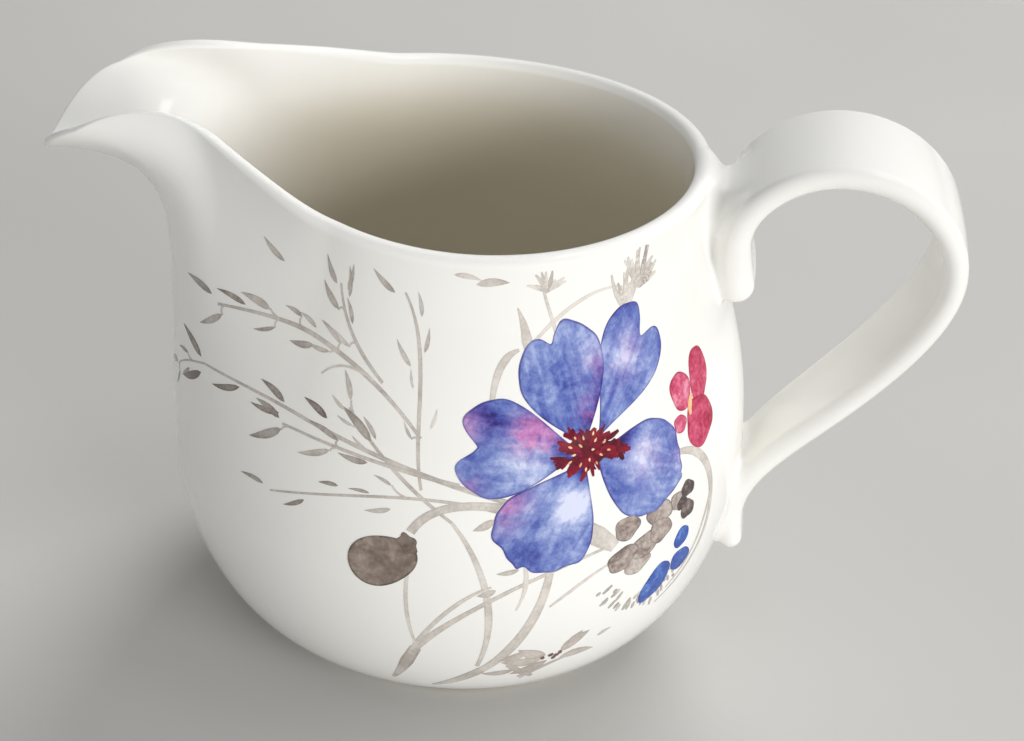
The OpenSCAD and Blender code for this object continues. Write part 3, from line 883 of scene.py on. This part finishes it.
def build_seed_blossoms():
    seeds = Transfer(134, 33, 7)
    lay_dabs(seeds, (((129.6, 34.8), 4.0, 3.6, 20, 0.55), ((137.4, 35.4), 4.8, 3.8, -20, 0.42),
                     ((138.0, 32.4), 4.0, 3.8, 0, 0.46), ((134.6, 31.2), 5.6, 3.6, 24, 0.44),
                     ((129.0, 30.2), 5.0, 3.4, 34, 0.5), ((132.6, 28.6), 4.4, 3.2, 10, 0.4),
                     ((142.4, 35.6), 2.8, 2.6, 0, 0.32), ((145.4, 36.6), 2.8, 2.4, 0, 0.9),
                     ((143.8, 34.8), 2.2, 2.0, 0, 0.95), ((145.6, 33.4), 2.8, 2.8, 0, 0.92)),
             0.07, 170, 0.02, 6)
    stops = [(0.0, rgb(206, 198, 190)), (0.45, rgb(166, 152, 143)),
             (0.8, rgb(112, 98, 92)), (1.0, rgb(72, 62, 62))]
    seeds.build("seed_blossoms", wash_material("taupe_wash", stops, rgb(98, 86, 84)), "brown_ink",
                "seed_blossom_transfer")


def build_pod():
    """A round seed pod with the collar of its stalk."""
    pod = Transfer(82.5, 31.5, 9)
    round_pod = polar(
        lambda a: 4.5 * (1 + 0.05 * np.cos(np.radians(2 * a)) + 0.04 * np.cos(np.radians(3 * a + 20))), 72)
    collar = polar(lambda a: 1.25 + 0.16 * np.cos(np.radians(5 * a)), 40)
    pod.blob((0, 0.2), turned(round_pod * [1.0, 0.86], 28), PETAL_LIFT, 0.5, 10)
    pod.blob(toward(46, 4.7), turned(collar * [0.9, 1.25], 34), PETAL_LIFT + 0.01, 0.62, 5)
    stops = [(0.0, rgb(176, 163, 152)), (0.5, rgb(136, 121, 110)), (1.0, rgb(92, 80, 72))]
    pod.build("seed_pod", wash_material("pod_wash", stops, rgb(66, 56, 52), 900, 0.1), "brown_ink",
              "pod_transfer")


def spray(t, line, widths, pairs, start, size, tones):
    """A grass stem with loose spikelets, mostly in pairs, that point forwards beside it."""
    line = t.mm(line)
    t.stroke(line, widths, INK_LIFT, 0.3 + 0.3 * tones[0], 30)
    at = np.linspace(start, 1.0, pairs)
    p = bezier(line, at)
    d = unit(bezier(line, at) - bezier(line, at - 0.01))
    for k in range(pairs):
        heading = math.degrees(math.atan2(d[k, 1], d[k, 0]))
        for side in (1, -1):
            if t.random.uniform() < 0.2:
                continue
            length = size * t.random.uniform(0.75, 1.2) * (0.75 + 0.5 * at[k])
            gap = t.random.uniform(0.5, 1.7)
            shift = turned(np.array([[t.random.uniform(-1, 1), side * gap]]), heading)[0]
            tone = tones[0] + (tones[1] - tones[0]) * at[k] + t.random.uniform(-0.15, 0.15)
            angle = heading + side * t.random.uniform(4, 30)
            width = length * t.random.uniform(0.14, 0.21)
            t.leaf(p[k] + shift, angle, length, width, INK_LIFT + 0.01, tone, side * 0.04, 0.7)
            if t.random.uniform() < 0.4:
                stalk = [p[k] - 1.2 * d[k], p[k] + 0.3 * shift, p[k] + shift]
                t.stroke(stalk, [0.3, 0.25, 0.2], INK_LIFT, 0.3, 6)


def fan(t, place, count, reach, spread_from, spread_to, width, tone):
    """Short strokes that spread from one point."""
    at = t.mm(place)
    for k in range(count):
        angle = spread_from + (spread_to - spread_from) * (k + t.random.uniform(0.1, 0.9)) / count
        length = reach * t.random.uniform(0.55, 1.1)
        mid = at + toward(angle + t.random.uniform(-14, 14), length * 0.55)
        t.stroke([at, mid, at + toward(angle, length)], [width * 0.5, width, width * 0.35], INK_LIFT,
                 tone + t.random.uniform(-0.2, 0.3), 6)


def build_grass():
    """Grass sprays, the stems of flower, pod and buds, seed heads and a band of short dashes."""
    grass = Transfer(90, 45, 10)
    spray(grass, [(107, 41), (88, 45), (62, 50), (36, 48)], [0.7, 0.6, 0.45, 0.3], 5, 0.45, 5.2, (0.3, 1.0))
    spray(grass, [(36, 48), (32, 47), (28, 46), (23, 43)], [0.3, 0.25, 0.2], 2, 0.5, 3.6, (0.7, 0.9))
    spray(grass, [(96, 43.5), (84, 45), (72, 46), (59, 46)], [0.6, 0.5, 0.4, 0.3], 3, 0.4, 4.0, (0.3, 0.6))
    spray(grass, [(104, 40), (90, 43), (76, 40.5), (58.5, 36.5)], [0.5, 0.4, 0.35, 0.25], 5, 0.45, 3.2,
          (0.3, 0.6))
    spray(grass, [(88, 49), (77, 57), (60, 61), (37, 57)], [0.4, 0.6, 0.6, 0.35], 6, 0.5, 3.8, (0.2, 0.6))
    spray(grass, [(79, 55), (73, 58), (68, 61), (66, 66)], [0.4, 0.5, 0.4, 0.3], 4, 0.5, 3.4, (0.2, 0.4))
    spray(grass, [(89, 42.5), (86, 50), (89, 60), (81.5, 67)], [0.35, 0.5, 0.55, 0.3], 5, 0.3, 3.2,
          (0.15, 0.4))
    spray(grass, [(95, 38.5), (86, 43), (79, 47), (73, 51)], [0.4, 0.5, 0.4, 0.3], 3, 0.7, 2.8, (0.25, 0.35))
    for line, widths, tone in (
            ([(77, 55), (72, 56.5), (68, 56), (65.5, 54)], [0.35, 0.3, 0.3, 0.2], 0.2),
            ([(101.5, 54), (102, 58), (104, 60), (107, 60.5)], [0.7, 1.1, 1.1, 0.4], 0.25),
            ([(109, 59), (109, 62), (108, 64), (106.5, 66)], [0.6, 1.6, 1.0, 0.2], 0.25),
            ([(116, 60), (115, 64), (113, 66), (112, 69)], [0.5, 0.6, 0.5, 0.4], 0.15),
            ([(108, 60), (114, 64), (122, 68), (131, 67)], [0.3, 0.6, 0.5, 0.3], 0.12),
            ([(87.6, 36.6), (90.5, 40.6), (97, 42), (109, 40)], [1.2, 1.1, 1.1, 1.3], 0.3),
            ([(143, 42.5), (149, 42), (155, 38), (154, 30)], [0.8, 1.3, 1.2, 0.8], 0.25),
            ([(154, 30), (153, 26), (149, 22), (141, 19)], [0.8, 0.6, 0.45, 0.25], 0.22),
            ([(154, 34), (152, 28), (149, 24), (143, 21)], [0.4, 0.5, 0.4, 0.2], 0.25),
            ([(114, 32), (113.5, 25), (109, 17), (103, 13)], [1.0, 1.3, 1.6, 1.4], 0.22),
            ([(103, 13), (100, 11), (97, 9.5), (93, 8)], [1.6, 1.6, 1.2, 0.5], 0.35),
            ([(109, 32), (110, 29), (109, 27), (108, 25)], [0.5, 0.7, 0.4, 0.2], 0.12),
            ([(95, 38.5), (100.5, 34), (105.5, 25), (102, 14)], [0.4, 0.75, 1.0, 0.6], 0.22),
            ([(127, 33), (112, 31.5), (97, 26), (89, 17)], [0.4, 0.55, 0.7, 1.2], 0.28),
            ([(103, 29), (97, 27.5), (91, 22), (88.5, 16)], [0.3, 0.6, 0.6, 1.0], 0.26),
            ([(89.5, 17.5), (87.5, 14), (86, 11), (84, 9)], [1.6, 1.9, 1.2, 0.5], 0.4),
            ([(88.3, 34), (86.6, 29), (87.4, 23), (89.5, 18.5)], [0.35, 0.5, 0.5, 0.3], 0.15),
            ([(126, 30), (122, 29), (118, 27), (114.5, 25)], [0.3, 0.45, 0.5, 0.3], 0.2),
            ([(121, 36), (123, 35), (125.5, 33.5), (127, 32.5)], [2.6, 2.8, 2.4, 1.6], 0.2)):
        grass.stroke(grass.mm(line), widths, INK_LIFT, tone, 30)
    for place, angle, length, width, tone in (
            ((97, 69.4), 4, 5.2, 1.2, 0.3), ((92, 70.6), -8, 4.4, 0.8, 0.2),
            ((49, 66), 150, 4.4, 0.8, 0.4), ((103, 39), -150, 3.2, 1.1, 0.3),
            ((108, 31.5), -170, 3.0, 0.8, 0.3), ((104, 28.4), 200, 2.6, 1.0, 0.4)):
        grass.leaf(grass.mm(place), angle, length, width, INK_LIFT, tone, 0.05)
    fan(grass, (133, 63), 9, 7.0, 50, 120, 0.9, 0.2)
    fan(grass, (137, 66), 13, 5.4, 10, 130, 1.0, 0.3)
    fan(grass, (113, 68), 10, 3.2, 10, 170, 0.7, 0.2)
    for k in range(44):
        at = grass.mm((126.5 + 0.42 * k, 27.2 - 5.4 * math.sin(math.pi * (k + 4) / 52)))
        at = at + grass.random.uniform(-1.3, 1.3, 2)
        end = at + toward(215 + 2.4 * k, grass.random.uniform(0.7, 1.7))
        grass.stroke([at, (at + end) / 2, end], [0.3, 0.55, 0.3], INK_LIFT, grass.random.uniform(0.3, 0.6), 4)
    grass.build("grass_sprays", ink_material("sand_stroke", rgb(222, 215, 206), rgb(108, 95, 86)), "sand_ink",
                "grass_transfer")


def build_base_sprig():
    """A small sprig of leaves low on the belly, with dots at its middle."""
    sprig = Transfer(116, 14, 11)
    for start, angle, length, width, tone in (
            ((116, 15.0), 155, 4.8, 1.9, 0.3), ((115.5, 14.2), 178, 6.0, 1.9, 0.3),
            ((117, 13.6), 205, 5.6, 1.8, 0.35), ((119, 15.6), 42, 5.0, 1.9, 0.35),
            ((119.6, 14.2), 2, 5.4, 1.6, 0.25), ((120.4, 16.2), 62, 3.4, 1.4, 0.3),
            ((127, 17.0), 24, 2.2, 0.7, 0.3), ((112, 16.4), 200, 4.2, 1.5, 0.3),
            ((110, 12.2), 185, 4.6, 1.2, 0.4)):
        sprig.leaf(sprig.mm(start), angle, length, width, PETAL_LIFT, tone, 0.06)
    for line, widths in (([(108.5, 14), (111, 12), (113, 11), (115, 10)], [1.0, 1.1, 0.6]),
                         ([(112, 10), (115, 12), (119, 13.4), (124, 14.6)], [1.2, 0.7, 0.3])):
        sprig.stroke(sprig.mm(line), widths, INK_LIFT, 0.35, 16)
    sprig.build("base_sprig", ink_material("sprig_taupe", rgb(214, 205, 196), rgb(112, 98, 90)), "sand_ink",
                "base_sprig_transfer")
    dots = Transfer(118, 14.8, 12)
    for k in range(5):
        at = toward(k * GOLDEN_ANGLE, 0.25 + 0.22 * k) * [1.5, 0.7]
        dots.blob(at, oval(0.8, 0.6, 30 * k), TOP_LIFT, 0.4, 3)
    dots.build("sprig_dots", ink_material("dot_brown", rgb(130, 100, 92), rgb(84, 60, 56)), "sand_ink")


build_clay()
build_grass()
build_base_sprig()
build_pod()
build_seed_blossoms()
build_buds()
build_red_blossom()
build_flower()
build_stamens()

# ---------------------------------------------------------------- setting
FLOOR_HALF = 3000
CAMERA_AZIMUTH, CAMERA_ELEVATION, CAMERA_ROLL = 5.31, 31.252, 4.411
CAMERA_DISTANCE, CAMERA_LENS, TARGET_Z = 320.0, 78.128, 38
AIM_X, AIM_Y = -0.0220, -0.00115  # turns the camera a little off the target, as slopes


def build_camera():
    az, el, roll = (math.radians(v) for v in (CAMERA_AZIMUTH, CAMERA_ELEVATION, CAMERA_ROLL))
    back = Vector((math.sin(az) * math.cos(el), -math.cos(az) * math.cos(el), math.sin(el)))
    eye = Vector((0, 0, TARGET_Z)) + back * CAMERA_DISTANCE
    ahead = -back
    right = ahead.cross(Vector((0, 0, 1))).normalized()
    up = right.cross(ahead)
    ahead = (ahead - AIM_X * right + AIM_Y * up).normalized()
    right = ahead.cross(Vector((0, 0, 1))).normalized()
    up = right.cross(ahead)
    right, up = right * math.cos(roll) + up * math.sin(roll), up * math.cos(roll) - right * math.sin(roll)
    data = bpy.data.cameras.new("camera")
    data.lens = CAMERA_LENS
    data.sensor_width = 36
    data.clip_start = 0.01
    camera = bpy.data.objects.new("camera", data)
    turn = Matrix((right, up, -ahead)).transposed()
    camera.matrix_world = Matrix.Translation(eye * MM) @ turn.to_4x4()
    bpy.context.scene.collection.objects.link(camera)
    bpy.context.scene.camera = camera


def area_light(name, at, aim, size, power, spread_angle=180, glossy=False):
    """A rectangular light; one that isn't glossy lights the jug but isn't mirrored in the glaze."""
    data = bpy.data.lights.new(name, "AREA")
    data.shape = "RECTANGLE"
    data.size, data.size_y = size
    data.spread = math.radians(spread_angle)
    data.energy = power
    o = bpy.data.objects.new(name, data)
    o.location = at
    o.rotation_mode = "QUATERNION"
    o.rotation_quaternion = (Vector(aim) - Vector(at)).to_track_quat("-Z", "Y")
    o.visible_glossy = glossy
    bpy.context.scene.collection.objects.link(o)


def build_setting():
    s = Shader("pale_floor")
    colour = s.ramp(s.noise(6, 2.0), [(0.3, rgb(190, 188, 184)), (0.7, rgb(197, 195, 191))])
    floor_material = s.finish(colour, 0.6)
    corners = [[x * FLOOR_HALF, y * FLOOR_HALF, 0] for x, y in ((-1, -1), (1, -1), (1, 1), (-1, 1))]
    floor = mesh_object("pale_floor", corners, [[0, 1, 2, 3]])
    floor.data.materials.append(floor_material)
    world = bpy.data.worlds.new("studio")
    bpy.context.scene.world = world
    world.use_nodes = True
    background = world.node_tree.nodes["Background"]
    background.inputs["Color"].default_value = (0.95, 0.97, 1.0, 1)
    background.inputs["Strength"].default_value = 0.38
    area_light("window", (1.44, -1.34, 0.54), (0, 0, 0.05), (1.1, 0.7), 30)
    area_light("front_fill", (-0.35, -1.35, 0.30), (0, 0, 0.05), (0.8, 0.5), 2.2)
    area_light("overhead", (0.58, -0.05, 1.38), (-0.02, 0, 0.07), (0.36, 0.3), 1.1, glossy=True)
    area_light("back_window", (0.45, 1.05, 0.95), (0.02, 0, 0.06), (0.8, 0.6), 2.4, 64)
    bpy.context.scene.view_settings.view_transform = "Standard"


build_camera()
build_setting()
